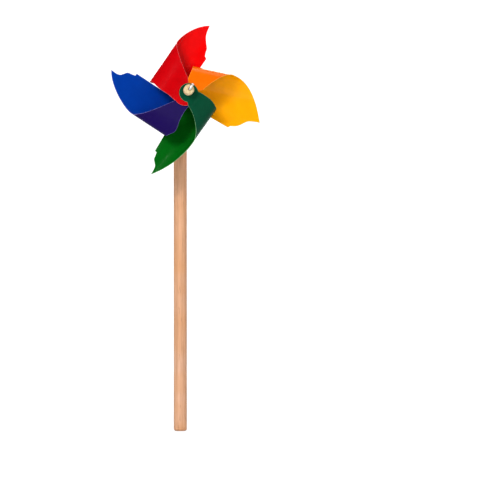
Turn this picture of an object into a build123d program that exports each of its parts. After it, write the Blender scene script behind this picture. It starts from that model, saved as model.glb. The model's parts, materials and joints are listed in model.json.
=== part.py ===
from build123d import *
import math
import os

# A hand-held pinwheel: four curled plastic blades, threaded on a wire axle
# between two wooden beads. The wire is wound round the top of a wooden stick.
# The origin is the centre of the stick's lower end, +Z runs up the stick, and
# the front of the pinwheel faces -Y.

# ---- stick (mm) ----
STICK_R = 4.0
STICK_LENGTH = 200.0
STICK_CHAMFER = 0.9
# The wire squeezes the wood, so the stick's wound end narrows by this much.
SQUEEZE = 0.1
SQUEEZE_FROM_Z = 183.0

# ---- wire ----
WIRE_R = 0.75
COIL_PITCH = 1.95
COIL_START_ANGLE = 30.0
COIL_END_ANGLE = 180.0 + 3 * 360.0
COIL_TOP_Z = STICK_LENGTH + 0.1
HAIRPIN_OUTER_X = 6.6
HAIRPIN_INNER_X = 4.85
HAIRPIN_BOTTOM_Z = 185.2
HAIRPIN_TOP_Z = 190.6
END_BEND_R = 1.3
END_ANGLE = 54.0
END_REACH = 3.7
# How far each end of a free curve runs on in its own direction before it turns away.
HAIRPIN_LEAD = 2.0
COIL_LEAD_IN = 2.2
SWING_LEAD = 3.2

# ---- axle line: it crosses the stick's axis just above the stick and tilts up ----
AXLE_TILT = 12.0
AXLE_Z = STICK_LENGTH + 0.9

# ---- beads ----
BEAD_R = 3.15
BEAD_LENGTH = 6.0
BEAD_ROUND = 1.5
REAR_BEAD_AT = 6.0
RUNNING_GAP = 0.08
END_GAP = 0.1
BEND_GAP = 0.25

# ---- blades: each is one sheet with two holed ends, rolled over the axle ----
SHEET = 0.35
LEVEL_STEP = 0.40
ROLL_HEIGHT = 18.0
FLAT_LENGTH = 6.5
SHALLOW_TURN = 30.0
END_DISC_R = 5.8
RED_SECTOR = 56.9
# In order from the back of the stack of bases, and of the stack of tabs.
BASE_ORDER = ["yellow", "green", "blue", "red"]
TAB_ORDER = ["blue", "yellow", "red", "green"]

# ---- places along the axle, measured from the stick's axis ----
AXLE_STRAIGHT_FROM = 5.2
REAR_BEAD_FRONT = REAR_BEAD_AT + BEAD_LENGTH
BASE_STACK_AT = REAR_BEAD_FRONT + END_GAP + SHEET / 2
TAB_STACK_AT = BASE_STACK_AT + ROLL_HEIGHT
TAB_STACK_FRONT = TAB_STACK_AT + (len(TAB_ORDER) - 1) * LEVEL_STEP + SHEET / 2
FRONT_BEAD_AT = TAB_STACK_FRONT + END_GAP
FRONT_BEAD_FRONT = FRONT_BEAD_AT + BEAD_LENGTH
END_BEND_AT = FRONT_BEAD_FRONT + BEND_GAP

COIL_R = STICK_R + WIRE_R
HOLE_R = WIRE_R + RUNNING_GAP

# Seen from the front, X of the axle plane is right, Y is up and Z comes forward.
AXLE_DIRECTION = Vector(0, -math.cos(math.radians(AXLE_TILT)), math.sin(math.radians(AXLE_TILT)))
AXLE_PLANE = Plane(origin=(0, 0, AXLE_Z), x_dir=(1, 0, 0), z_dir=AXLE_DIRECTION)


def turned(angle):
    """The unit vector at an angle in the axle plane's own X and Y."""
    return Vector(math.cos(math.radians(angle)), math.sin(math.radians(angle)), 0)


# ================= stick =================
with BuildPart() as stick:
    with BuildSketch(Plane.XZ):
        with BuildLine():
            Polyline(
                (0, 0),
                (STICK_R - STICK_CHAMFER, 0),
                (STICK_R, STICK_CHAMFER),
                (STICK_R, SQUEEZE_FROM_Z),
                (STICK_R - SQUEEZE, STICK_LENGTH - STICK_CHAMFER),
                (STICK_R - SQUEEZE - STICK_CHAMFER, STICK_LENGTH),
                (0, STICK_LENGTH),
                close=True,
            )
        make_face()
    revolve(axis=Axis.Z)


# ================= axle wire =================
# One piece of wire: a hairpin tail beside the stick, a coil that grips the
# stick, a swing over the stick's top, the straight axle and a bent front end.
def coil_point(angle):
    """A point on the coil's centre line; the angle grows as the coil rises."""
    around = math.radians(angle)
    z = COIL_TOP_Z - COIL_PITCH * (COIL_END_ANGLE - angle) / 360
    return Vector(COIL_R * math.cos(around), COIL_R * math.sin(around), z)


def coil_heading(angle):
    """The coil's rising direction at an angle."""
    around = math.radians(angle)
    rise = COIL_PITCH / (2 * math.pi)
    return Vector(-COIL_R * math.sin(around), COIL_R * math.cos(around), rise).normalized()


coil_start = coil_point(COIL_START_ANGLE)
coil_end = coil_point(COIL_END_ANGLE)
coil_way_in = coil_heading(COIL_START_ANGLE)
coil_way_out = coil_heading(COIL_END_ANGLE)
axle_start = AXLE_PLANE.from_local_coords(Vector(0, 0, AXLE_STRAIGHT_FROM))
axle_end = AXLE_PLANE.from_local_coords(Vector(0, 0, END_BEND_AT))
tip_way = turned(END_ANGLE)
bend_end = AXLE_PLANE.from_local_coords(Vector(0, 0, END_BEND_AT + END_BEND_R) + tip_way * END_BEND_R)
tip_end = AXLE_PLANE.from_local_coords(Vector(0, 0, END_BEND_AT + END_BEND_R) + tip_way * END_REACH)
hairpin_r = (HAIRPIN_OUTER_X - HAIRPIN_INNER_X) / 2
hairpin_top = Vector(HAIRPIN_OUTER_X, 0, HAIRPIN_TOP_Z)
hairpin_low = Vector(HAIRPIN_OUTER_X, 0, HAIRPIN_BOTTOM_Z)
hairpin_turn = Vector(HAIRPIN_OUTER_X - hairpin_r, 0, HAIRPIN_BOTTOM_Z - hairpin_r)
hairpin_back = Vector(HAIRPIN_INNER_X, 0, HAIRPIN_BOTTOM_Z)
hairpin_end = Vector(HAIRPIN_INNER_X, 0, HAIRPIN_TOP_Z)

with BuildPart() as axle_wire:
    with BuildLine() as wire_line:
        Line(hairpin_end, hairpin_back)
        ThreePointArc(hairpin_back, hairpin_turn, hairpin_low)
        Line(hairpin_low, hairpin_top)
        lead_in = coil_start - coil_way_in * COIL_LEAD_IN
        Bezier(hairpin_top, hairpin_top + Vector(0, 0, HAIRPIN_LEAD), lead_in, coil_start)
        coil_rise = coil_end.Z - coil_start.Z
        coil = Helix(COIL_PITCH, coil_rise, COIL_R, center=(0, 0, coil_start.Z), mode=Mode.PRIVATE)
        add(coil.rotate(Axis.Z, COIL_START_ANGLE))
        swing_out = coil_end + coil_way_out * SWING_LEAD
        swing_in = axle_start - AXLE_DIRECTION * SWING_LEAD
        Bezier(coil_end, swing_out, swing_in, axle_start)
        Line(axle_start, axle_end)
        TangentArc(axle_end, bend_end, tangent=AXLE_DIRECTION)
        Line(bend_end, tip_end)
    with BuildSketch(Plane(origin=hairpin_end, z_dir=(0, 0, -1))):
        Circle(WIRE_R)
    sweep(path=wire_line.line)


# ================= beads =================
def bead(start):
    """A turned wooden bead on the axle, from start along the axle."""
    place = Plane(origin=AXLE_PLANE.from_local_coords(Vector(0, 0, start)), x_dir=(1, 0, 0),
                  z_dir=AXLE_DIRECTION)
    with BuildPart() as turned_bead:
        with BuildSketch(place):
            Circle(BEAD_R)
        extrude(amount=BEAD_LENGTH)
        fillet(turned_bead.edges().filter_by(GeomType.CIRCLE), BEAD_ROUND)
        with BuildSketch(place):
            Circle(HOLE_R)
        extrude(amount=BEAD_LENGTH, mode=Mode.SUBTRACT)
    return turned_bead.part


rear_bead = bead(REAR_BEAD_AT)
front_bead = bead(FRONT_BEAD_AT)


# ================= blades =================
# A blade's outline is given as it is seen along the axle, by n and t. t runs from
# the axle along the blade's sector, towards the tip, and n runs across it, towards
# the roll. The base half goes from the base's end disc out along the straight edge,
# round the wave to the tip, and along the free edge to the fold, and back from the
# fold along the cut edge. Each springy sheet has settled into its own roll, so the
# outlines differ. The roll is turned a little in its sector, and the places of its
# fold and its tab are given along and across the turned roll.
BASE_NECK_OUT = (-3.4, 4.7)
CUT_EDGE = [(13.6, -0.7), (10.6, -0.1)]
BASE_TOOTH_IN = (9.8, -1.9)
BASE_NECK_IN = (4.7, -3.4)
TAB_NECK_IN = (4.6, -2.8)
BLADES = {
    "red": {
        "quarter": 0, "roll_turn": -2.4, "reach": 22.0,
        "straight_edge": [(-0.7, 10.3), (1.0, 11.2), (0.3, 27.4)],
        "wave": [(1.8, 28.3), (2.6, 30.5), (3.3, 33.0), (5.1, 35.4), (7.0, 38.0), (8.3, 41.0)],
        "tip": (9.2, 46.0), "free_aim": (17.3, 40.3), "shoulder": 5.0,
        "free_at": 23.5, "cut_at": -6.3,
        "tab_free": [(22.0, 18.8), (9.0, 9.6), (5.0, 7.2)], "tab_neck": (2.6, 4.6),
        "tab_cut": [(3.0, -9.4), (8.1, -8.7), (14.8, -8.4)],
        "tab_disc": (0.3, -2.8, 6.9),
    },
    "yellow": {
        "quarter": -1, "roll_turn": 20.5, "reach": 17.5,
        "straight_edge": [(-3.6, 10.4), (-2.2, 11.3), (-1.3, 32.8)],
        "wave": [(0.2, 33.6), (1.9, 36.4), (4.1, 38.4), (7.1, 40.2), (8.9, 41.8), (10.5, 44.7)],
        "tip": (11.8, 47.8), "free_aim": (18.8, 41.3), "shoulder": 14.0,
        "free_at": 27.0, "cut_at": 1.2,
        "tab_free": [(17.5, 21.5), (8.0, 12.5), (2.3, 8.6)], "tab_neck": (1.6, 5.2),
        "tab_cut": [(6.2, -1.4), (9.6, -0.9)],
        "tab_disc": (0, 0, END_DISC_R),
    },
    "green": {
        "quarter": -2, "roll_turn": -3.2, "reach": 20.6,
        "straight_edge": [(0.3, 10.3), (2.2, 11.2), (2.7, 37.9)],
        "wave": [(4.0, 38.2), (4.5, 40.5), (4.9, 42.6), (6.2, 44.2), (7.6, 46.1), (8.1, 48.9)],
        "tip": (8.1, 51.8), "free_aim": (17.3, 40.3), "shoulder": 6.0,
        "free_at": 21.7, "cut_at": -2.8,
        "tab_free": [(20.6, 17.0), (10.5, 8.9), (5.2, 7.4)], "tab_neck": (2.6, 4.6),
        "tab_cut": [(6.2, -3.6), (9.2, -3.9), (15.1, -4.1)],
        "tab_disc": (1.0, 0.6, END_DISC_R),
    },
    "blue": {
        "quarter": 1, "roll_turn": -0.9, "reach": 28.4,
        "straight_edge": [(2.9, 10.2), (4.0, 11.2), (3.5, 31.3)],
        "wave": [(5.0, 31.5), (5.4, 33.4), (5.9, 36.2), (7.9, 38.0), (9.5, 39.4), (10.2, 41.7)],
        "tip": (10.0, 45.6), "free_aim": (18.8, 41.2), "shoulder": 5.0,
        "free_at": 20.3, "cut_at": -4.0,
        "tab_free": [(28.4, 17.0), (20.0, 10.3), (8.5, 3.2)], "tab_neck": (4.9, 2.6),
        "tab_cut": [(6.2, -5.8), (10.5, -5.1), (17.2, -5.5), (23.8, -6.9)],
        "tab_disc": (0, 0, END_DISC_R),
    },
}

# Each blade is cut out of a wider rolled sheet by its outline.
WIDE_SHEET_BACK = 14.0
WIDE_SHEET_START = -15.0
WIDE_SHEET_RUN = 70.0
OUTLINE_MARGIN = 1.0
FOLD_MARGIN = 2.0


def roll_radii(reach, height):
    """The roll turns up on a shallow arc, over on a tight one and back on a shallow one."""
    turn = math.radians(SHALLOW_TURN)
    run = (1 - math.cos(turn)) / math.sin(turn)
    tight = (height / 2 - (reach - FLAT_LENGTH) * run) / (math.cos(turn) - (1 - math.sin(turn)) * run)
    shallow = (reach - FLAT_LENGTH - tight * (1 - math.sin(turn))) / math.sin(turn)
    return shallow, tight


def blade(colour, shape):
    """One rolled blade, at its own place in the stacks of bases and tabs."""
    base_at = BASE_STACK_AT + LEVEL_STEP * BASE_ORDER.index(colour)
    height = TAB_STACK_AT + LEVEL_STEP * TAB_ORDER.index(colour) - base_at
    reach = shape["reach"]
    shallow, tight = roll_radii(reach, height)
    roll_angle = RED_SECTOR + 90.0 * shape["quarter"] + shape["roll_turn"]
    ruling = AXLE_PLANE.from_local_coords(turned(roll_angle)) - AXLE_PLANE.origin
    base_centre = AXLE_PLANE.from_local_coords(Vector(0, 0, base_at))
    # In the outline's plane X runs from the axle to the roll, and Y against the ruling.
    outline_plane = Plane(origin=base_centre, x_dir=AXLE_DIRECTION.cross(ruling), z_dir=AXLE_DIRECTION)
    section_plane = Plane(origin=base_centre, x_dir=outline_plane.x_dir, z_dir=ruling)

    def on_roll(point):
        """A point given across and along the turned roll, in the outline's plane."""
        return point[0], -point[1]

    def in_sector(point):
        """A point given across and along the sector, in the outline's plane."""
        n, t = point
        turn = math.radians(shape["roll_turn"])
        return n * math.cos(turn) - t * math.sin(turn), -t * math.cos(turn) - n * math.sin(turn)

    fold_free = on_roll((reach, shape["free_at"]))
    fold_cut = on_roll((reach, shape["cut_at"]))
    shoulder = on_roll((reach, shape["free_at"] + shape["shoulder"]))
    past = (FOLD_MARGIN, 0)
    past_fold = [fold_free, Vector(*fold_free) + past, Vector(*fold_cut) + past, fold_cut]
    with BuildPart() as outline:
        with BuildSketch(outline_plane.offset(-OUTLINE_MARGIN)):
            with BuildLine():
                neck_out = [BASE_NECK_OUT, *shape["straight_edge"], shape["wave"][0]]
                tip = in_sector(shape["tip"])
                Polyline(*[in_sector(point) for point in neck_out])
                Spline(*[in_sector(point) for point in shape["wave"]], tip)
                Bezier(tip, in_sector(shape["free_aim"]), shoulder, fold_free)
                neck_in = CUT_EDGE + [BASE_TOOTH_IN, BASE_NECK_IN, BASE_NECK_OUT]
                Polyline(*past_fold, *[in_sector(point) for point in neck_in])
            make_face()
            Circle(END_DISC_R)
        extrude(amount=OUTLINE_MARGIN + height / 2)
        with BuildSketch(outline_plane.offset(height / 2)):
            with BuildLine():
                free_edge = [on_roll(point) for point in shape["tab_free"]]
                cut_edge = [on_roll(point) for point in shape["tab_cut"]]
                Bezier(fold_free, *free_edge)
                Polyline(free_edge[-1], on_roll(shape["tab_neck"]), on_roll(TAB_NECK_IN), cut_edge[0])
                Spline(*cut_edge, fold_cut)
                Polyline(*past_fold)
            make_face()
            disc_n, disc_t, disc_r = shape["tab_disc"]
            with Locations(on_roll((disc_n, disc_t))):
                Circle(disc_r)
        extrude(amount=OUTLINE_MARGIN + height / 2)

    with BuildPart() as rolled:
        with BuildSketch(section_plane.offset(WIDE_SHEET_START)):
            with BuildLine():
                base = Line((-WIDE_SHEET_BACK, 0), (FLAT_LENGTH, 0))
                rise = JernArc(base @ 1, base % 1, radius=shallow, arc_size=SHALLOW_TURN)
                fold = JernArc(rise @ 1, rise % 1, radius=tight, arc_size=180 - 2 * SHALLOW_TURN)
                fall = JernArc(fold @ 1, fold % 1, radius=shallow, arc_size=SHALLOW_TURN)
                Line(fall @ 1, (-WIDE_SHEET_BACK, height))
                offset(amount=SHEET / 2, side=Side.BOTH)
            make_face()
        extrude(amount=WIDE_SHEET_RUN)
        add(outline.part, mode=Mode.INTERSECT)
        with BuildSketch(outline_plane.offset(-OUTLINE_MARGIN)):
            Circle(HOLE_R)
        extrude(amount=height + 2 * OUTLINE_MARGIN, mode=Mode.SUBTRACT)
    return rolled.part


os.makedirs("parts", exist_ok=True)
stick.part.label = "stick"
export_step(stick.part, "parts/stick.step")
axle_wire.part.label = "axle_wire"
export_step(axle_wire.part, "parts/axle_wire.step")
rear_bead.label = "rear_bead"
export_step(rear_bead, "parts/rear_bead.step")
front_bead.label = "front_bead"
export_step(front_bead, "parts/front_bead.step")
for colour, shape in BLADES.items():
    blade_part = blade(colour, shape)
    blade_part.label = "blade_" + colour
    export_step(blade_part, "parts/blade_" + colour + ".step")
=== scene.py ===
import json
import math

import bpy
import numpy as np
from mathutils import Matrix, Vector, noise
from mathutils.geometry import delaunay_2d_cdt


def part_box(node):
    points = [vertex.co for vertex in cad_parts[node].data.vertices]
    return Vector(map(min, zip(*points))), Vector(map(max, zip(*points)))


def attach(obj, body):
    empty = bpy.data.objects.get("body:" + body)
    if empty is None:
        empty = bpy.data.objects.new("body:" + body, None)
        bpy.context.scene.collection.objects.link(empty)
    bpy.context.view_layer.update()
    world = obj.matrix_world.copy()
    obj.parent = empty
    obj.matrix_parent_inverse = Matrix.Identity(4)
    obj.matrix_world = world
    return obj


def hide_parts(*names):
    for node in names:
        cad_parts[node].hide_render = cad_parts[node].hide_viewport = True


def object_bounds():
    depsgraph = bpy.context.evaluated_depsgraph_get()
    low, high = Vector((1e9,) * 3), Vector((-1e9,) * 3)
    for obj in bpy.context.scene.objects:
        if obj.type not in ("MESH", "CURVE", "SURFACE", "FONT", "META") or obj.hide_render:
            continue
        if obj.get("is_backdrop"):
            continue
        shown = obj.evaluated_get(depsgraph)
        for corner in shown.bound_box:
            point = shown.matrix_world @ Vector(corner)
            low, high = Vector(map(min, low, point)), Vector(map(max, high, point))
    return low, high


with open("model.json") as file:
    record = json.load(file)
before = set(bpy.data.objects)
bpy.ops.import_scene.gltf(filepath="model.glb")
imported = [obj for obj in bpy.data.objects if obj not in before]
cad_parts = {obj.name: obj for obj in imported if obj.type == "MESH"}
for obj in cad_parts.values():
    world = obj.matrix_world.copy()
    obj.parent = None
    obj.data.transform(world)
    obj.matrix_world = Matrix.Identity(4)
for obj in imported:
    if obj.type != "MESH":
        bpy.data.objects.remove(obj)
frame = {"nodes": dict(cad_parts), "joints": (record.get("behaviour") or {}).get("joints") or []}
cad_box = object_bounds()

# A hand-held pinwheel: four curled plastic blades, printed in a different colour on
# each side, on a wire axle between two wooden beads, on a wooden stick. Lengths are
# in millimetres until a mesh is made.
MM = 0.001

# ================= the frame's axle =================
rotor_spin = next(j for j in frame["joints"] if j["name"] == "rotor_spin")
AXLE_AT = Vector(rotor_spin["pos_m"]) / MM
AXLE_WAY = Vector(rotor_spin["axis"]).normalized()
RIGHT = Vector((1, 0, 0))
UP = AXLE_WAY.cross(RIGHT)
stick_low, stick_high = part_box("stick")
STICK_LENGTH = (stick_high.z - stick_low.z) / MM
STICK_R = (stick_high.x - stick_low.x) / 2 / MM


def reach_along(node, way):
    """How far a CAD node reaches back and forward along a direction from the axle's origin, in mm."""
    vertices = frame["nodes"][node].data.vertices
    along = [(vertex.co / MM - AXLE_AT).dot(way) for vertex in vertices]
    return min(along), max(along)


def on_axle(right, up, along):
    """A point of the axle's own frame."""
    return AXLE_AT + RIGHT * right + UP * up + AXLE_WAY * along


# ================= node helpers =================
class Shader:
    """A material's or a world's node tree, built by short calls."""

    def __init__(self, owner):
        owner.use_nodes = True
        self.tree = owner.node_tree
        self.tree.nodes.clear()

    def add(self, kind, inputs=(), **settings):
        node = self.tree.nodes.new("ShaderNode" + kind)
        for name, value in settings.items():
            setattr(node, name, value)
        for name, value in dict(inputs).items():
            self.put(node, name, value)
        return node

    def put(self, node, name, value):
        if isinstance(value, bpy.types.NodeSocket):
            self.tree.links.new(value, node.inputs[name])
        else:
            node.inputs[name].default_value = value

    def coordinates(self, scale=(1, 1, 1)):
        """Object coordinates in millimetres, stretched."""
        place = self.add("TexCoord").outputs["Object"]
        size = [s / MM for s in scale]
        return self.add("Mapping", {"Vector": place, "Scale": size}).outputs["Vector"]

    def speckle(self, scale, vector, detail=4.0, roughness=0.55):
        """Noise from 0 to 1."""
        inputs = {"Vector": vector, "Scale": scale, "Detail": detail, "Roughness": roughness}
        return self.add("TexNoise", inputs).outputs["Fac"]

    def ramp(self, value, low, high, start=0.0, end=1.0):
        """The value, from low to high, made into start to end."""
        inputs = {"Value": value, "From Min": low, "From Max": high, "To Min": start, "To Max": end}
        return self.add("MapRange", inputs).outputs["Result"]

    def mix(self, share, first, second):
        """Two colours, mixed."""
        node = self.add("Mix", data_type="RGBA")
        self.put(node, 0, share)
        self.put(node, 6, first)
        self.put(node, 7, second)
        return node.outputs[2]

    def arithmetic(self, kind, first, second):
        """Arithmetic on two values."""
        node = self.add("Math", operation=kind)
        self.put(node, 0, first)
        self.put(node, 1, second)
        return node.outputs[0]

    def bump(self, height, distance, strength, normal=None):
        """A normal that follows a height, on top of another normal if one is given."""
        inputs = {"Height": height, "Distance": distance, "Strength": strength}
        if normal is not None:
            inputs["Normal"] = normal
        return self.add("Bump", inputs).outputs["Normal"]

    def surface(self, **inputs):
        """The principled surface, and the output; an input's spaces are written as underscores."""
        named = {name.replace("_", " "): value for name, value in inputs.items()}
        principled = self.add("BsdfPrincipled", named)
        self.add("OutputMaterial", {"Surface": principled.outputs[0]})


def colour(red, green, blue):
    return (red, green, blue, 1.0)


# ================= materials =================
# Noise scales are per millimetre, bump heights are in millimetres, and pairs are the
# low and high end of a range.
MOTTLE_DARK = 0.86
MOTTLE_LIGHT = 1.06
MOTTLE_SCALE = 0.22
PRINT_GRAIN_SCALE = 2.6
PRINT_GRAIN_HEIGHT = 0.012
HAIRLINE_SCALE = 3.2
HAIRLINE_STRETCH = (0.9, 0.25, 0.12)
HAIRLINE_HEIGHT = 0.004
# The pale band along the blades' cut edges, partly worn ink showing the core and partly a painted highlight
# of light catching the edge: its ragged border, depth, share of core colour and added roughness.
RAGGED_EDGE = (-0.10, 0.10)
EDGE_WEAR_AND_HIGHLIGHT_DEPTH = (0.05, 0.22)
EDGE_WEAR_AND_HIGHLIGHT_SHARE = 0.35
EDGE_WEAR_AND_HIGHLIGHT_ROUGHNESS = 0.25
PRINT_ROUGHNESS = (0.12, 0.21)
SHEET_SWELL_SCALE = 0.09
SHEET_SWELL_HEIGHT = 0.25
TORN_SCALE = 4.0
TORN_HEIGHT = 0.03
TORN_DARK = 0.7
TORN_ROUGHNESS = (0.35, 0.6)
STREAK_FINER = 4.5
PATCH_SCALE = 0.035
PORE_LONGER = 2.2
PORE_DARK = 0.55
FUZZ_SCALE = 5.0
FUZZ_HEIGHT = 0.02
WOOD_GRAIN_HEIGHT = 0.05
WOOD_ROUGHNESS = (0.52, 0.72)
WIRE_SPOT_SCALE = 0.9
WIRE_GRAIN_SCALE = 6.0
WIRE_GRAIN_HEIGHT = 0.01
WIRE_ROUGHNESS = (0.26, 0.42)


def printed_sheet(name, ink, core):
    """Glossy printed plastic: faint mottle, fine hairlines, and a pale line painted along the cut edges,
    partly the pale core where the ink is worn thin and partly a painted highlight of light catching the
    edge.
    """
    material = bpy.data.materials.new(name)
    shader = Shader(material)
    place = shader.coordinates()
    along = shader.coordinates(HAIRLINE_STRETCH)
    mottle = shader.speckle(MOTTLE_SCALE, place)
    grain = shader.speckle(PRINT_GRAIN_SCALE, place, detail=3.0)
    hairline = shader.speckle(HAIRLINE_SCALE, along, detail=6.0, roughness=0.7)
    darker = colour(*(MOTTLE_DARK * c for c in ink))
    lighter = colour(*(min(1.0, MOTTLE_LIGHT * c + 0.001) for c in ink))
    body = shader.mix(mottle, darker, lighter)
    # A pale band in the core's colour along the cut edges: painted highlight of light catching the edge,
    # partly the pale core where the ink wears thin.
    edge = shader.add("Attribute", attribute_name="edge_mm").outputs["Fac"]
    ragged = shader.arithmetic("ADD", edge, shader.ramp(grain, 0.35, 0.65, *RAGGED_EDGE))
    edge_wear_and_highlight = shader.ramp(ragged, *EDGE_WEAR_AND_HIGHLIGHT_DEPTH, EDGE_WEAR_AND_HIGHLIGHT_SHARE, 0.0)
    body = shader.mix(edge_wear_and_highlight, body, colour(*core))
    rough = shader.ramp(hairline, 0.35, 0.7, *PRINT_ROUGHNESS)
    rough = shader.arithmetic("ADD", rough, shader.arithmetic("MULTIPLY", edge_wear_and_highlight, EDGE_WEAR_AND_HIGHLIGHT_ROUGHNESS))
    swell = shader.speckle(SHEET_SWELL_SCALE, place, detail=1.0)
    slow = shader.bump(swell, SHEET_SWELL_HEIGHT * MM, strength=0.35)
    normal = shader.bump(grain, PRINT_GRAIN_HEIGHT * MM, strength=0.5, normal=slow)
    normal = shader.bump(hairline, HAIRLINE_HEIGHT * MM, strength=0.4, normal=normal)
    shader.surface(Base_Color=body, Roughness=rough, Specular_IOR_Level=0.11, Normal=normal,
                   Coat_Weight=0.03, Coat_Roughness=0.12, Coat_Normal=slow)
    return material


def cut_edge(name, core):
    """The sheet's cut edge: the pale core, slightly torn."""
    material = bpy.data.materials.new(name)
    shader = Shader(material)
    torn = shader.speckle(TORN_SCALE, shader.coordinates(), detail=5.0)
    body = shader.mix(torn, colour(*(TORN_DARK * c for c in core)), colour(*core))
    shader.surface(Base_Color=body, Roughness=shader.ramp(torn, 0.3, 0.7, *TORN_ROUGHNESS),
                   Normal=shader.bump(torn, TORN_HEIGHT * MM, strength=0.6))
    return material


def wood(name, pale, warm, dark, line_scale, stretch, pores):
    """Bare sanded wood: long grain lines, warmer patches, fine pores and a dull surface.

    The line scale and the pores are noise scales, and the stretch is how much slower
    they run along the grain.
    """
    material = bpy.data.materials.new(name)
    shader = Shader(material)
    place = shader.coordinates()
    along = shader.coordinates((1, 1, stretch))
    lines = shader.speckle(line_scale, along, detail=8.0, roughness=0.62)
    streak = shader.speckle(line_scale * STREAK_FINER, along, detail=5.0, roughness=0.6)
    patch = shader.speckle(PATCH_SCALE, place, detail=2.0)
    body = shader.mix(shader.ramp(patch, 0.35, 0.65), colour(*pale), colour(*warm))
    body = shader.mix(shader.ramp(lines, 0.44, 0.68, 0.0, 0.55), body, colour(*dark))
    body = shader.mix(shader.ramp(streak, 0.46, 0.72, 0.0, 0.45), body, colour(*dark))
    fleck_place = shader.coordinates((1, 1, stretch * PORE_LONGER))
    flecks = shader.speckle(pores, fleck_place, detail=2.0, roughness=0.5)
    fleck = shader.ramp(flecks, 0.66, 0.74, 0.0, 0.5)
    body = shader.mix(fleck, body, colour(*(PORE_DARK * c for c in dark)))
    open_pores = shader.ramp(flecks, 0.6, 0.75, 0.6, 0.0)
    height = shader.arithmetic("ADD", shader.arithmetic("MULTIPLY", streak, 0.7), open_pores)
    fuzz = shader.bump(shader.speckle(FUZZ_SCALE, place), FUZZ_HEIGHT * MM, strength=0.4)
    normal = shader.bump(height, WOOD_GRAIN_HEIGHT * MM, strength=0.6, normal=fuzz)
    rough = shader.ramp(streak, 0.3, 0.7, *WOOD_ROUGHNESS)
    shader.surface(Base_Color=body, Roughness=rough, Specular_IOR_Level=0.3, Normal=normal,
                   Sheen_Weight=0.06)
    return material


def plated_wire(name):
    """Bright drawn wire: a fine grain, small dull spots and a faint warm cast."""
    material = bpy.data.materials.new(name)
    shader = Shader(material)
    place = shader.coordinates()
    spots = shader.speckle(WIRE_SPOT_SCALE, place, detail=5.0)
    fine = shader.speckle(WIRE_GRAIN_SCALE, place, detail=4.0)
    bright, dull = colour(0.88, 0.88, 0.88), colour(0.66, 0.64, 0.62)
    body = shader.mix(shader.ramp(spots, 0.4, 0.75), bright, dull)
    rough = shader.ramp(spots, 0.35, 0.75, *WIRE_ROUGHNESS)
    normal = shader.bump(fine, WIRE_GRAIN_HEIGHT * MM, strength=0.5)
    shader.surface(Base_Color=body, Metallic=1.0, Roughness=rough, Normal=normal)
    return material


# ================= meshes =================
SHARP_ANGLE = math.radians(38)
CURVE_POINTS = 40
SPAN_POINTS = 12
TINY = 1e-12


def new_piece(name, vertices, faces, materials, face_materials=None, *, body, node):
    """A mesh piece from points in mm, riding on a body and standing for a CAD node."""
    mesh = bpy.data.meshes.new(name)
    mesh.from_pydata([Vector(v) * MM for v in vertices], [], faces)
    for material in materials:
        mesh.materials.append(material)
    if face_materials is not None:
        mesh.polygons.foreach_set("material_index", face_materials)
    mesh.validate()
    mesh.shade_smooth()
    mesh.set_sharp_from_angle(angle=SHARP_ANGLE)
    piece = bpy.data.objects.new(name, mesh)
    bpy.context.scene.collection.objects.link(piece)
    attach(piece, body)
    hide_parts(node)
    return piece


def bezier(points):
    """Points on a cubic curve."""
    a, b, c, d = [np.array(p, float) for p in points]
    u = np.linspace(0, 1, CURVE_POINTS)[:, None]
    return (1 - u) ** 3 * a + 3 * (1 - u) ** 2 * u * b + 3 * (1 - u) * u**2 * c + u**3 * d


def through(points):
    """A smooth curve through every point."""
    before = 2 * np.array(points[0]) - points[1]
    after = 2 * np.array(points[-1]) - points[-2]
    p = np.array([before, *points, after], float)
    u = np.linspace(0, 1, SPAN_POINTS, endpoint=False)[:, None]
    spans = []
    for a, b, c, d in zip(p, p[1:], p[2:], p[3:]):
        spans.append(0.5 * (2 * b + (c - a) * u + (2 * a - 5 * b + 4 * c - d) * u**2
                            + (3 * b - a - 3 * c + d) * u**3))
    return np.vstack(spans + [p[-2:-1]])


def divided(points, step):
    """The line through the points, with more points so that none are further apart than the step."""
    found = [np.array(points[0], float)]
    for a, b in zip(points, points[1:]):
        a, b = np.array(a, float), np.array(b, float)
        count = max(1, math.ceil(np.linalg.norm(b - a) / step))
        found += [a + (b - a) * (k + 1) / count for k in range(count)]
    return np.array(found)


# ================= blades =================
SHEET = 0.34
LEVEL_STEP = 0.40
FLAT_LENGTH = 6.5
SHALLOW_TURN = math.radians(30)
ROLL_HEIGHT = 18.0
END_DISC_R = 5.8
HOLE_R = 0.83
RED_SECTOR = 56.9
REAR_BEAD_TO_STACK = 0.275
BASE_STACK_AT = reach_along("rear_bead", AXLE_WAY)[1] + REAR_BEAD_TO_STACK
# In order from the back of the stack of bases, and of the stack of tabs.
BASE_ORDER = ["yellow", "green", "blue", "red"]
TAB_ORDER = ["blue", "yellow", "red", "green"]
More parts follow.
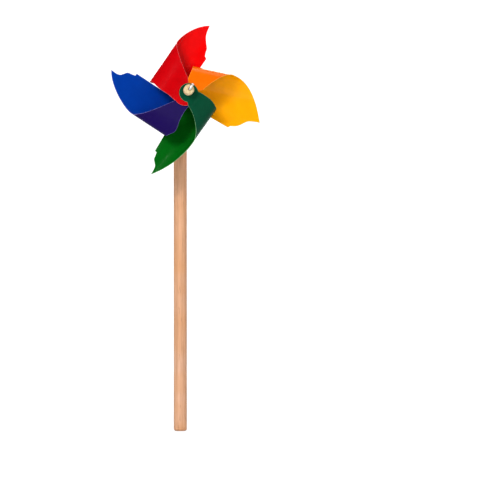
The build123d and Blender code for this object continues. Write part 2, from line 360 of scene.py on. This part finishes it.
# A blade's outline is given as it is seen along the axle. The first number of a point
# runs across the blade's sector, towards its roll, and the second along it, towards
# the tip. The places of the fold and of the tab follow the turned roll instead.
BASE_NECK_OUT = (-3.4, 4.7)
CUT_EDGE = [(13.6, -0.7), (10.6, -0.1)]
BASE_TOOTH_IN = (9.8, -1.9)
BASE_NECK_IN = (4.7, -3.4)
TAB_NECK_IN = (4.6, -2.8)
BLADES = {
    "red": {
        "quarter": 0, "roll_turn": -2.4, "reach": 22.0,
        "straight_edge": [(-0.7, 10.3), (1.0, 11.2), (0.3, 27.4)],
        "wave": [(1.8, 28.3), (2.6, 30.5), (3.3, 33.0), (5.1, 35.4), (7.0, 38.0), (8.3, 41.0)],
        "tip": (9.2, 46.0), "free_aim": (17.3, 40.3), "shoulder": 5.0,
        "free_at": 23.5, "cut_at": -6.3,
        "tab_free": [(22.0, 18.8), (9.0, 9.6), (5.0, 7.2)], "tab_neck": (2.6, 4.6),
        "tab_cut": [(3.0, -9.4), (8.1, -8.7), (14.8, -8.4)],
        "tab_disc": (0.3, -2.8, 6.9),
    },
    "yellow": {
        "quarter": -1, "roll_turn": 20.5, "reach": 17.5,
        "straight_edge": [(-3.6, 10.4), (-2.2, 11.3), (-1.3, 32.8)],
        "wave": [(0.2, 33.6), (1.9, 36.4), (4.1, 38.4), (7.1, 40.2), (8.9, 41.8), (10.5, 44.7)],
        "tip": (11.8, 47.8), "free_aim": (18.8, 41.3), "shoulder": 14.0,
        "free_at": 27.0, "cut_at": 1.2,
        "tab_free": [(17.5, 21.5), (8.0, 12.5), (2.3, 8.6)], "tab_neck": (1.6, 5.2),
        "tab_cut": [(6.2, -1.4), (9.6, -0.9)],
        "tab_disc": (0, 0, END_DISC_R),
    },
    "green": {
        "quarter": -2, "roll_turn": -3.2, "reach": 20.6,
        "straight_edge": [(0.3, 10.3), (2.2, 11.2), (2.7, 37.9)],
        "wave": [(4.0, 38.2), (4.5, 40.5), (4.9, 42.6), (6.2, 44.2), (7.6, 46.1), (8.1, 48.9)],
        "tip": (8.1, 51.8), "free_aim": (17.3, 40.3), "shoulder": 6.0,
        "free_at": 21.7, "cut_at": -2.8,
        "tab_free": [(20.6, 17.0), (10.5, 8.9), (5.2, 7.4)], "tab_neck": (2.6, 4.6),
        "tab_cut": [(6.2, -3.6), (9.2, -3.9), (15.1, -4.1)],
        "tab_disc": (1.0, 0.6, END_DISC_R),
    },
    "blue": {
        "quarter": 1, "roll_turn": -0.9, "reach": 28.4,
        "straight_edge": [(2.9, 10.2), (4.0, 11.2), (3.5, 31.3)],
        "wave": [(5.0, 31.5), (5.4, 33.4), (5.9, 36.2), (7.9, 38.0), (9.5, 39.4), (10.2, 41.7)],
        "tip": (10.0, 45.6), "free_aim": (18.8, 41.2), "shoulder": 5.0,
        "free_at": 20.3, "cut_at": -4.0,
        "tab_free": [(28.4, 17.0), (20.0, 10.3), (8.5, 3.2)], "tab_neck": (4.9, 2.6),
        "tab_cut": [(6.2, -5.8), (10.5, -5.1), (17.2, -5.5), (23.8, -6.9)],
        "tab_disc": (0, 0, END_DISC_R),
    },
}
# The mesh of a sheet.
OUTLINE_STEP = 0.45
GRID_STEP = 0.85
GRID_MARGIN = 0.30
MERGE_DISTANCE = 1e-6
EDGE_ROUND = 0.06
# The sheet's slight ripple, which grows with the distance from the axle's holes.
RIPPLE = 0.14
RIPPLE_SIZE = 11
RIPPLE_FROM = 11
RIPPLE_GROWTH = 12
RIPPLE_SEED = 9.0


class Roll:
    """A blade's rolled section: flat, a shallow arc, a tight one, a shallow one, and flat again."""

    def __init__(self, reach, height):
        run = (1 - math.cos(SHALLOW_TURN)) / math.sin(SHALLOW_TURN)
        rise = math.cos(SHALLOW_TURN) - (1 - math.sin(SHALLOW_TURN)) * run
        self.tight = (height / 2 - (reach - FLAT_LENGTH) * run) / rise
        shallow_reach = reach - FLAT_LENGTH - self.tight * (1 - math.sin(SHALLOW_TURN))
        self.shallow = shallow_reach / math.sin(SHALLOW_TURN)
        self.height = height
        self.tight_from = FLAT_LENGTH + self.shallow * SHALLOW_TURN
        self.tight_from_n = FLAT_LENGTH + self.shallow * math.sin(SHALLOW_TURN)
        self.fold = self.tight_from + self.tight * (math.pi / 2 - SHALLOW_TURN)

    def along(self, n):
        """The length along the sheet from the axle to where its base half is n out."""
        if n <= FLAT_LENGTH:
            return n
        if n <= self.tight_from_n:
            return FLAT_LENGTH + self.shallow * math.asin((n - FLAT_LENGTH) / self.shallow)
        sine = math.sin(SHALLOW_TURN) + (n - self.tight_from_n) / self.tight
        return self.tight_from + self.tight * (math.asin(min(1.0, sine)) - SHALLOW_TURN)

    def place(self, length):
        """How far out and up the sheet is at a length along it, and its lean there."""
        half = min(length, 2 * self.fold - length)
        if half <= FLAT_LENGTH:
            out, up, lean = half, 0.0, 0.0
        elif half <= self.tight_from:
            lean = (half - FLAT_LENGTH) / self.shallow
            out = FLAT_LENGTH + self.shallow * math.sin(lean)
            up = self.shallow * (1 - math.cos(lean))
        else:
            lean = SHALLOW_TURN + (half - self.tight_from) / self.tight
            out = self.tight_from_n + self.tight * (math.sin(lean) - math.sin(SHALLOW_TURN))
            up = self.shallow * (1 - math.cos(SHALLOW_TURN))
            up += self.tight * (math.cos(SHALLOW_TURN) - math.cos(lean))
        if length > self.fold:
            return out, self.height - up, math.pi - lean
        return out, up, lean


def flat_outline(roll, shape):
    """The cut line of the sheet before it is rolled: length along the roll, and place along the fold."""
    turn = math.radians(shape["roll_turn"])

    def in_roll(point):
        n, t = point
        return n * math.cos(turn) - t * math.sin(turn), t * math.cos(turn) + n * math.sin(turn)

    fine = OUTLINE_STEP / 3
    fold_free = (shape["reach"], shape["free_at"])
    fold_cut = (shape["reach"], shape["cut_at"])
    shoulder = (shape["reach"], shape["free_at"] + shape["shoulder"])
    straight_edge = [in_roll(p) for p in (BASE_NECK_OUT, *shape["straight_edge"])]
    wave = through([in_roll(p) for p in (*shape["wave"], shape["tip"])])
    free = bezier([in_roll(shape["tip"]), in_roll(shape["free_aim"]), shoulder, fold_free])
    base_out = divided([*straight_edge, *wave, *free[1:]], fine)
    base_in = [in_roll(p) for p in [*CUT_EDGE, BASE_TOOTH_IN, BASE_NECK_IN, BASE_NECK_OUT]]
    base_in = divided([fold_cut, *base_in], fine)[1:-1]
    tab_free = bezier([fold_free, *shape["tab_free"]])
    tab_cut = through([*shape["tab_cut"], fold_cut])
    tab = divided([*tab_free, shape["tab_neck"], TAB_NECK_IN, *tab_cut], fine)[1:]
    flat = [(roll.along(n), t) for n, t in base_out]
    flat += [(2 * roll.fold - roll.along(n), t) for n, t in tab]
    flat += [(roll.along(n), t) for n, t in base_in]
    return divided(flat + flat[:1], OUTLINE_STEP)[:-1]


def ring(x, y, radius, step):
    """Points round a circle."""
    count = math.ceil(2 * math.pi * radius / step)
    turns = [2 * math.pi * k / count for k in range(count)]
    return np.array([(x + radius * math.cos(a), y + radius * math.sin(a)) for a in turns])


def counter_clockwise(loop):
    """The same loop of points, turned round if it runs clockwise."""
    x, y = loop[:, 0], loop[:, 1]
    area = np.dot(x, np.roll(y, -1)) - np.dot(y, np.roll(x, -1))
    return loop if area > 0 else loop[::-1]


def distance_to(points, starts, ends):
    """How far each point is from the nearest of the segments."""
    best = np.full(len(points), np.inf)
    for a, b in zip(starts, ends):
        way = b - a
        share = np.clip(((points - a) @ way) / max(way @ way, TINY), 0, 1)
        best = np.minimum(best, np.linalg.norm(points - a - share[:, None] * way, axis=1))
    return best


def cut_sheet(outline, tab_at, tab_disc):
    """The flat sheet's points and triangles: the outline and both end discs, without the two holes."""
    disc_n, disc_t, disc_r = tab_disc
    discs = [ring(0, 0, END_DISC_R, OUTLINE_STEP), ring(tab_at - disc_n, disc_t, disc_r, OUTLINE_STEP)]
    holes = [ring(centre, 0, HOLE_R, OUTLINE_STEP / 2) for centre in (0, tab_at)]
    loops = [counter_clockwise(loop) for loop in [outline, *discs, *holes]]
    low = np.min([loop.min(0) for loop in loops], 0)
    high = np.max([loop.max(0) for loop in loops], 0)
    row_step = GRID_STEP * math.sqrt(3) / 2
    rows = np.arange(low[1], high[1], row_step)
    grid = [(x + (k % 2) * GRID_STEP / 2, y) for k, y in enumerate(rows)
            for x in np.arange(low[0], high[0], GRID_STEP)]
    grid = np.array(grid)
    starts = np.vstack(loops)
    ends = np.vstack([np.roll(loop, -1, 0) for loop in loops])
    grid = grid[distance_to(grid, starts, ends) > GRID_MARGIN]
    faces, count = [], 0
    for loop in loops:
        faces.append(list(range(count, count + len(loop))))
        count += len(loop)
    points = [Vector(p) for p in np.vstack([starts, grid])]
    found = delaunay_2d_cdt(points, [], faces, 0, MERGE_DISTANCE, True)
    flat, triangles, owners = found[0], found[2], found[5]
    solid = set(range(1 + len(discs)))
    cut = set(range(len(solid), len(loops)))
    kept = [t for t, o in zip(triangles, owners) if solid & set(o) and not cut & set(o)]
    used = sorted({v for t in kept for v in t})
    number = {v: k for k, v in enumerate(used)}
    return np.array([flat[v] for v in used]), [[number[v] for v in t] for t in kept]


def rim_edges(triangles):
    """The directed edges that only one triangle has."""
    edges = {(t[k], t[(k + 1) % 3]) for t in triangles for k in range(3)}
    return [e for e in edges if (e[1], e[0]) not in edges]


def outward(flat, edges):
    """The direction out of the sheet at each point of its rim."""
    out = {}
    for a, b in edges:
        way = flat[b] - flat[a]
        side = np.array([way[1], -way[0]]) / max(np.linalg.norm(way), TINY)
        for v in (a, b):
            out[v] = out.get(v, np.zeros(2)) + side
    return {v: d / max(np.linalg.norm(d), TINY) for v, d in out.items()}


# The places of a blade's materials.
FRONT, BACK, CUT = 0, 1, 2


def blade(name, materials):
    """One rolled, printed blade, at its place in both stacks."""
    shape = BLADES[name]
    base_at = BASE_STACK_AT + LEVEL_STEP * BASE_ORDER.index(name)
    tab_at = BASE_STACK_AT + ROLL_HEIGHT + LEVEL_STEP * TAB_ORDER.index(name)
    roll = Roll(shape["reach"], tab_at - base_at)
    flat, triangles = cut_sheet(flat_outline(roll, shape), 2 * roll.fold, shape["tab_disc"])
    angle = math.radians(RED_SECTOR + 90 * shape["quarter"] + shape["roll_turn"])
    ruling = RIGHT * math.cos(angle) + UP * math.sin(angle)
    across = AXLE_WAY.cross(ruling)
    origin = on_axle(0, 0, base_at)

    def rolled(point, side):
        """A point of the flat sheet, rolled up; side runs from -1, the back print, to 1."""
        length, t = point
        n, w, lean = roll.place(length)
        hub = min(math.hypot(length, t), math.hypot(length - 2 * roll.fold, t))
        free = min(1.0, max(0.0, (hub - RIPPLE_FROM) / RIPPLE_GROWTH)) ** 2
        spot = Vector((length, t, RIPPLE_SEED * (shape["quarter"] + 3))) / RIPPLE_SIZE
        out = side * SHEET / 2 + RIPPLE * free * noise.noise(spot)
        return (origin + across * (n - out * math.sin(lean)) + AXLE_WAY * (w + out * math.cos(lean))
                + ruling * t)

    edges = rim_edges(triangles)
    away = outward(flat, edges)
    inset = np.array([p - EDGE_ROUND * away[k] if k in away else p for k, p in enumerate(flat)])
    rim = sorted(away)
    count, step = len(flat), 1 - 2 * EDGE_ROUND / SHEET
    vertices = [rolled(p, 1) for p in inset] + [rolled(p, -1) for p in inset]
    vertices += [rolled(flat[k], step) for k in rim] + [rolled(flat[k], -step) for k in rim]
    front_rim = {k: 2 * count + i for i, k in enumerate(rim)}
    back_rim = {k: 2 * count + len(rim) + i for i, k in enumerate(rim)}
    faces = [tuple(t) for t in triangles] + [tuple(count + v for v in reversed(t)) for t in triangles]
    kinds = [FRONT] * len(triangles) + [BACK] * len(triangles)
    for a, b in edges:
        faces += [(b, a, front_rim[a], front_rim[b]),
                  (front_rim[b], front_rim[a], back_rim[a], back_rim[b]),
                  (back_rim[b], back_rim[a], count + a, count + b)]
        kinds += [FRONT, CUT, BACK]
    # The sheet's own frame is left-handed, so its faces are turned round to face outwards.
    faces = [tuple(reversed(face)) for face in faces]
    starts, ends = flat[[a for a, b in edges]], flat[[b for a, b in edges]]
    depth = distance_to(flat, starts, ends)
    piece = new_piece("blade_" + name + "_sheet", vertices, faces, materials, kinds,
                      body="rotor", node="blade_" + name)
    attribute = piece.data.attributes.new("edge_mm", "FLOAT", "POINT")
    attribute.data.foreach_set("value", [*depth, *depth, *([0.0] * 2 * len(rim))])


# The front print, the back print and the core, in linear colour. The core colours the cut edge and the pale
# band painted along it, which is partly a painted highlight.
INKS = {
    "red": ((0.80, 0.001, 0.002), (0.54, 0.001, 0.005), (0.90, 0.30, 0.30)),
    "yellow": ((0.94, 0.40, 0.001), (0.88, 0.175, 0.002), (0.96, 0.55, 0.12)),
    "green": ((0.001, 0.13, 0.008), (0.001, 0.075, 0.036), (0.30, 0.55, 0.28)),
    "blue": ((0.001, 0.052, 0.33), (0.012, 0.001, 0.090), (0.40, 0.34, 0.70)),
}
for name, (front, back, core) in INKS.items():
    sheet_materials = [printed_sheet(name + "_front_print", front, core),
                       printed_sheet(name + "_back_print", back, core),
                       cut_edge(name + "_cut_edge", core)]
    blade(name, sheet_materials)


# ================= turned and swept pieces =================
def turned_piece(profile, segments, place, closed):
    """Rings of points round an axis from (radius, height) pairs; a closed profile joins its ends."""
    vertices, faces = [], []
    for radius, height in profile:
        for k in range(segments):
            vertices.append(place(radius, 2 * math.pi * k / segments, height))
    rows = len(profile)
    for i in range(rows if closed else rows - 1):
        j = (i + 1) % rows
        for k in range(segments):
            m = (k + 1) % segments
            faces.append((i * segments + k, i * segments + m, j * segments + m, j * segments + k))
    if not closed:
        faces.append(tuple(reversed(range(segments))))
        faces.append(tuple((rows - 1) * segments + k for k in range(segments)))
    return vertices, faces


def arc(centre, radius, start, end, count):
    """(radius, height) pairs round a quarter turn or so, in degrees."""
    turns = np.radians(np.linspace(start, end, count))
    return [(centre[0] + radius * math.cos(a), centre[1] + radius * math.sin(a)) for a in turns]


# ---- stick ----
STICK_CHAMFER = 0.9
SQUEEZE = 0.1
SQUEEZE_FROM_Z = 183.0
GRAIN_DEPTH = 0.035
# The grain's noise scales across the stick and along it, per millimetre.
GRAIN_LINE = (1.7, 0.035)
GRAIN_FIBRE = (5.0, 0.12)
FIBRE_SEED = 40
END_PIT_DEPTH = 0.05
END_PIT_SCALE = 2.4
END_PIT_SEED = 7
STICK_RING_STEP = 0.9
STICK_SEGMENTS = 128
END_RADII = [0.02, 0.5, 1.0, 1.5, 2.0, 2.5, 2.9]
# How far in and how far along the stick the rounded chamfer is, in shares of its size.
WORN_CHAMFER = [(1.0, 0.0), (0.80, 0.10), (0.5, 0.42), (0.14, 0.80), (0.0, 1.0)]


def stick_radius(z):
    """The stick narrows a little where the wire is wound."""
    over = max(0.0, z - SQUEEZE_FROM_Z) / (STICK_LENGTH - STICK_CHAMFER - SQUEEZE_FROM_Z)
    return STICK_R - SQUEEZE * min(1.0, over)


def stick_profile():
    """Up the stick from its foot's centre to its top's centre."""
    foot = [(r, 0.0) for r in END_RADII]
    foot += [(STICK_R - STICK_CHAMFER * a, STICK_CHAMFER * b) for a, b in WORN_CHAMFER]
    count = math.ceil((STICK_LENGTH - 2 * STICK_CHAMFER) / STICK_RING_STEP)
    heights = [STICK_CHAMFER + (STICK_LENGTH - 2 * STICK_CHAMFER) * k / count for k in range(1, count)]
    side = [(stick_radius(z), z) for z in heights]
    top_r = stick_radius(STICK_LENGTH)
    top = [(top_r - STICK_CHAMFER * a, STICK_LENGTH - STICK_CHAMFER * b) for a, b in reversed(WORN_CHAMFER)]
    top += [(r, STICK_LENGTH) for r in reversed(END_RADII)]
    return foot + side + top


def on_stick(radius, angle, z):
    """A point on the stick, with the raised and sunk lines of its grain."""
    x, y = radius * math.cos(angle), radius * math.sin(angle)
    across, along = GRAIN_LINE
    line = noise.noise(Vector((x * across, y * across, z * along)))
    across, along = GRAIN_FIBRE
    fibre = noise.noise(Vector((x * across, y * across, z * along + FIBRE_SEED)))
    sunk = GRAIN_DEPTH * min(1.0, abs(0.6 * line + 0.6 * fibre))
    shrink = 1 - sunk / STICK_R
    pit = 0.0
    if z <= 0.0 or z >= STICK_LENGTH:
        spot = Vector((x * END_PIT_SCALE, y * END_PIT_SCALE, z + END_PIT_SEED))
        pit = END_PIT_DEPTH * max(0.0, noise.noise(spot))
    inward = pit if z <= 0.0 else -pit
    return Vector((x * shrink, y * shrink, z + inward))


vertices, faces = turned_piece(stick_profile(), STICK_SEGMENTS, on_stick, closed=False)
stick_wood = wood("stick_wood", pale=(0.72, 0.44, 0.30), warm=(0.68, 0.36, 0.185), dark=(0.46, 0.24, 0.13),
                  line_scale=0.55, stretch=0.035, pores=2.2)
new_piece("stick_dowel", vertices, faces, [stick_wood], body="stand", node="stick")

# ---- beads ----
BEAD_R = 3.15
BEAD_ROUND = 1.5
BEAD_HOLE_CHAMFER = 0.18
BEAD_SEGMENTS = 96
BEAD_ROUND_POINTS = 12
BEAD_SIDE_ROWS = 24
BEAD_HOLE_ROWS = 8
BEAD_FACE_POINTS = 4
BEAD_FACE_FROM = 1.2
BEAD_FACE_MARGIN = 0.1
# Every third row of a bead's side is a turning line.
TOOL_LINE = 0.025
TOOL_LINE_EVERY = 3
BEAD_WEAR = 0.02
BEAD_SEEDS = {"rear_bead": 17.0, "front_bead": 31.0}


def bead_profile(length):
    """Round a bead's section: the hole, the back, the crowned rim and the front."""
    crown_r = BEAD_R - BEAD_ROUND
    face = list(np.linspace(BEAD_FACE_FROM, crown_r - BEAD_FACE_MARGIN, BEAD_FACE_POINTS))
    hole = np.linspace(length - BEAD_HOLE_CHAMFER, BEAD_HOLE_CHAMFER, BEAD_HOLE_ROWS)
    profile = [(HOLE_R, z) for z in hole]
    profile += [(HOLE_R + BEAD_HOLE_CHAMFER, 0.0)]
    profile += [(r, 0.0) for r in face]
    profile += arc((crown_r, BEAD_ROUND), BEAD_ROUND, -90, 0, BEAD_ROUND_POINTS)
    for k in range(1, BEAD_SIDE_ROWS):
        z = BEAD_ROUND + (length - 2 * BEAD_ROUND) * k / BEAD_SIDE_ROWS
        profile.append((BEAD_R - TOOL_LINE * (k % TOOL_LINE_EVERY == 1), z))
    profile += arc((crown_r, length - BEAD_ROUND), BEAD_ROUND, 0, 90, BEAD_ROUND_POINTS)
    profile += [(r, length) for r in reversed(face)]
    profile += [(HOLE_R + BEAD_HOLE_CHAMFER, length)]
    return profile


bead_wood = wood("bead_wood", pale=(0.80, 0.66, 0.40), warm=(0.72, 0.54, 0.30), dark=(0.48, 0.32, 0.15),
                 line_scale=0.5, stretch=0.3, pores=3.0)
for name, seed in BEAD_SEEDS.items():
    start, end = reach_along(name, AXLE_WAY)

    def on_bead(radius, angle, along, start=start, seed=seed):
        """A point on the bead, with the worn hollows of its surface."""
        x, y = radius * math.cos(angle), radius * math.sin(angle)
        sunk = BEAD_WEAR * abs(noise.noise(Vector((x * 2, y * 0.4 + seed, along * 2))))
        shrink = 1 - sunk / BEAD_R if radius > HOLE_R + 0.01 else 1.0
        return on_axle(x * shrink, y * shrink, start + along)

    vertices, faces = turned_piece(bead_profile(end - start), BEAD_SEGMENTS, on_bead, closed=True)
    new_piece(name + "_turned", vertices, faces, [bead_wood], body=name, node=name)

# ---- wire ----
WIRE_R = 0.75
COIL_R = STICK_R + WIRE_R
COIL_PITCH = 1.95
COIL_TOP_Z = STICK_LENGTH + 0.1
COIL_START = math.radians(30)
COIL_END = math.radians(180 + 3 * 360)
HAIRPIN_OUTER_X = 6.6
HAIRPIN_INNER_X = 4.85
HAIRPIN_BOTTOM_Z = 185.2
HAIRPIN_TOP_Z = 190.6
HAIRPIN_LEAD = 2.0
COIL_LEAD_IN = 2.2
SWING_LEAD = 3.2
AXLE_STRAIGHT_FROM = 5.2
BEND_GAP = 0.25
END_BEND_R = 1.3
END_ANGLE = math.radians(54)
END_REACH = 3.7
WIRE_SEGMENTS = 24
WIRE_STEP = 0.22
WIRE_END_ROUND = 0.22
WIRE_END_STEPS = np.radians([15, 40, 65, 85])
HAIRPIN_POINTS = 15
COIL_POINTS = 260
BEND_POINTS = 12


def coil_point(angle):
    """A point of the coil's centre line."""
    z = COIL_TOP_Z - COIL_PITCH * (COIL_END - angle) / (2 * math.pi)
    return Vector((COIL_R * math.cos(angle), COIL_R * math.sin(angle), z))


def coil_heading(angle):
    """The way the coil's centre line runs."""
    rise = COIL_PITCH / (2 * math.pi)
    return Vector((-COIL_R * math.sin(angle), COIL_R * math.cos(angle), rise)).normalized()


def wire_path():
    """The wire's centre line: a hairpin tail, the coil, the swing over the stick, the axle and its end."""
    inner = Vector((HAIRPIN_INNER_X, 0, HAIRPIN_TOP_Z))
    low_in = Vector((HAIRPIN_INNER_X, 0, HAIRPIN_BOTTOM_Z))
    turn_r = (HAIRPIN_OUTER_X - HAIRPIN_INNER_X) / 2
    turn_at = Vector((HAIRPIN_INNER_X + turn_r, 0, HAIRPIN_BOTTOM_Z))
    half_turn = np.linspace(0, math.pi, HAIRPIN_POINTS)
    turn = [turn_at + turn_r * Vector((-math.cos(a), 0, -math.sin(a))) for a in half_turn]
    outer = Vector((HAIRPIN_OUTER_X, 0, HAIRPIN_TOP_Z))
    lead_in = coil_point(COIL_START) - coil_heading(COIL_START) * COIL_LEAD_IN
    tail = bezier([outer, outer + Vector((0, 0, HAIRPIN_LEAD)), lead_in, coil_point(COIL_START)])
    coil = [coil_point(a) for a in np.linspace(COIL_START, COIL_END, COIL_POINTS)]
    straight = on_axle(0, 0, AXLE_STRAIGHT_FROM)
    swing_out = coil_point(COIL_END) + coil_heading(COIL_END) * SWING_LEAD
    swing = bezier([coil_point(COIL_END), swing_out, straight - AXLE_WAY * SWING_LEAD, straight])
    bend_at = reach_along("front_bead", AXLE_WAY)[1] + BEND_GAP
    way = RIGHT * math.cos(END_ANGLE) + UP * math.sin(END_ANGLE)
    centre = on_axle(0, 0, bend_at) + way * END_BEND_R
    quarter_turn = np.linspace(0, math.pi / 2, BEND_POINTS)
    bend = [centre + END_BEND_R * (AXLE_WAY * math.sin(a) - way * math.cos(a)) for a in quarter_turn]
    tip = on_axle(0, 0, bend_at + END_BEND_R) + way * END_REACH
    points = [inner, low_in, *turn[1:], outer, *tail[1:], *coil[1:], *swing[1:], *bend, tip]
    return divided(points, WIRE_STEP)


def tube(path, radius):
    """A round tube along a path, with softly rounded cut ends."""
    ways = np.gradient(path, axis=0)
    ways /= np.linalg.norm(ways, axis=1)[:, None]
    side = np.cross(ways[0], (0.0, 1.0, 0.0))
    vertices, faces, rows = [], [], []
    for k, (point, way) in enumerate(zip(path, ways)):
        side = side - way * np.dot(side, way)
        side /= np.linalg.norm(side)
        rows.append((point, side.copy(), np.cross(way, side), radius))

    def rounded(row, way):
        """Rings that close an end."""
        point, first, second, _ = row
        return [(point + way * WIRE_END_ROUND * math.sin(a), first, second,
                 radius - WIRE_END_ROUND * (1 - math.cos(a))) for a in WIRE_END_STEPS]

    head = list(reversed(rounded(rows[0], -ways[0])))
    rows = head + rows + rounded(rows[-1], ways[-1])
    turns = [2 * math.pi * k / WIRE_SEGMENTS for k in range(WIRE_SEGMENTS)]
    for point, first, second, r in rows:
        vertices += [point + r * (first * math.cos(a) + second * math.sin(a)) for a in turns]
    for i in range(len(rows) - 1):
        for k in range(WIRE_SEGMENTS):
            m = (k + 1) % WIRE_SEGMENTS
            a, b = i * WIRE_SEGMENTS, (i + 1) * WIRE_SEGMENTS
            faces.append((a + k, a + m, b + m, b + k))
    faces.append(tuple(reversed(range(WIRE_SEGMENTS))))
    faces.append(tuple((len(rows) - 1) * WIRE_SEGMENTS + k for k in range(WIRE_SEGMENTS)))
    return vertices, faces


path = wire_path()
# The path starts and ends short of the wire's cut length, by most of its rounded ends.
END_INSET = 0.9 * WIRE_END_ROUND
for end, inside in ((0, 1), (-1, -2)):
    way = path[inside] - path[end]
    path[end] = path[end] + way * (END_INSET / np.linalg.norm(way))
vertices, faces = tube(path, WIRE_R)
new_piece("axle_wire_bent", vertices, faces, [plated_wire("plated_wire")], body="stand", node="axle_wire")

# ================= floor, light and camera =================
FLOOR_R = 30.0
FLOOR_SEGMENTS = 96
FLOOR_FADE = (0.10, 0.9)
FLOOR_WHITE_SHARE = (0.55, 1.0)


def pale_floor():
    """A plain pale floor that turns into the white background with distance from the object."""
    material = bpy.data.materials.new("pale_floor")
    shader = Shader(material)
    place = shader.add("TexCoord").outputs["Object"]
    far = shader.add("VectorMath", {0: place}, operation="LENGTH").outputs["Value"]
    share = shader.ramp(far, *FLOOR_FADE, *FLOOR_WHITE_SHARE)
    matt = shader.add("BsdfDiffuse", {"Color": colour(0.86, 0.86, 0.86)})
    seen = shader.add("LightPath").outputs["Is Camera Ray"]
    white = shader.add("Emission", {"Color": colour(1, 1, 1), "Strength": 1.0})
    mixed = shader.add("MixShader", {"Fac": shader.arithmetic("MULTIPLY", share, seen), 1: matt.outputs[0],
                                     2: white.outputs[0]})
    shader.add("OutputMaterial", {"Surface": mixed.outputs[0]})
    mesh = bpy.data.meshes.new("floor")
    turns = [2 * math.pi * k / FLOOR_SEGMENTS for k in range(FLOOR_SEGMENTS)]
    rim = [(FLOOR_R * math.cos(a), FLOOR_R * math.sin(a), 0) for a in turns]
    mesh.from_pydata(rim, [], [tuple(range(FLOOR_SEGMENTS))])
    mesh.materials.append(material)
    floor = bpy.data.objects.new("floor", mesh)
    bpy.context.scene.collection.objects.link(floor)
    floor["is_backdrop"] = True


def studio_world(strength):
    """A soft grey room that the camera sees as white."""
    world = bpy.data.worlds.new("studio")
    bpy.context.scene.world = world
    shader = Shader(world)
    seen = shader.add("LightPath").outputs["Is Camera Ray"]
    room = shader.add("Background", {"Color": colour(1, 1, 1), "Strength": strength})
    white = shader.add("Background", {"Color": colour(1, 1, 1), "Strength": 1.0})
    mixed = shader.add("MixShader", {"Fac": seen, 1: room.outputs[0], 2: white.outputs[0]})
    shader.add("OutputWorld", {"Surface": mixed.outputs[0]})


def softbox(name, place, aim, size, power):
    """A square area light that faces a point, all in metres."""
    data = bpy.data.lights.new(name, "AREA")
    data.energy = power
    data.size = size
    light = bpy.data.objects.new(name, data)
    light.location = place
    light.visible_camera = False
    light.rotation_euler = (Vector(aim) - Vector(place)).to_track_quat("-Z", "Y").to_euler()
    bpy.context.scene.collection.objects.link(light)


ROOM_STRENGTH = 0.12
HUB = Vector((0, 0, 0.2))
# Each light's place and size in metres, and its power in watts.
LIGHTS = {
    "key": ((-0.75, -1.05, 0.95), 0.42, 12),
    "fill": ((1.1, -0.9, 0.35), 1.6, 5),
    "low": ((-0.2, -1.3, 0.12), 1.2, 7),
    "top": ((0.1, 0.2, 1.3), 0.8, 4.5),
    "back": ((0.4, 1.3, 0.6), 1.4, 22),
}
pale_floor()
studio_world(ROOM_STRENGTH)
for name, (place, size, power) in LIGHTS.items():
    softbox(name, place, HUB, size, power)

# The camera stands to the left of the front and a little above level, far off. Its
# distance, its picture and its aim are in metres.
CAMERA_TURN = math.radians(-9)
CAMERA_RISE = math.radians(2.2)
CAMERA_DISTANCE = 6.0
PICTURE_WIDTH = 0.2918
AIM_RIGHT = 0.0363
AIM_Z = 0.1161
SENSOR_WIDTH_MM = 36.0
SEES_TO = 100.0
camera_data = bpy.data.cameras.new("camera")
camera_data.sensor_width = SENSOR_WIDTH_MM
camera_data.lens = SENSOR_WIDTH_MM * CAMERA_DISTANCE / PICTURE_WIDTH
camera_data.clip_end = SEES_TO
camera = bpy.data.objects.new("camera", camera_data)
level = Vector((-math.sin(CAMERA_TURN), math.cos(CAMERA_TURN), 0))
sight = level * math.cos(CAMERA_RISE) - Vector((0, 0, math.sin(CAMERA_RISE)))
aside = Vector((math.cos(CAMERA_TURN), math.sin(CAMERA_TURN), 0))
aim = aside * AIM_RIGHT + Vector((0, 0, AIM_Z))
camera.location = aim - sight * CAMERA_DISTANCE
camera.rotation_euler = sight.to_track_quat("-Z", "Y").to_euler()
bpy.context.scene.collection.objects.link(camera)
bpy.context.scene.camera = camera
bpy.context.scene.view_settings.view_transform = "Standard"
bpy.context.scene.view_settings.look = "Medium High Contrast"

boxes = {"cad": cad_box, "visual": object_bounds()}
{name: [list(corner) for corner in corners] for name, corners in boxes.items()}
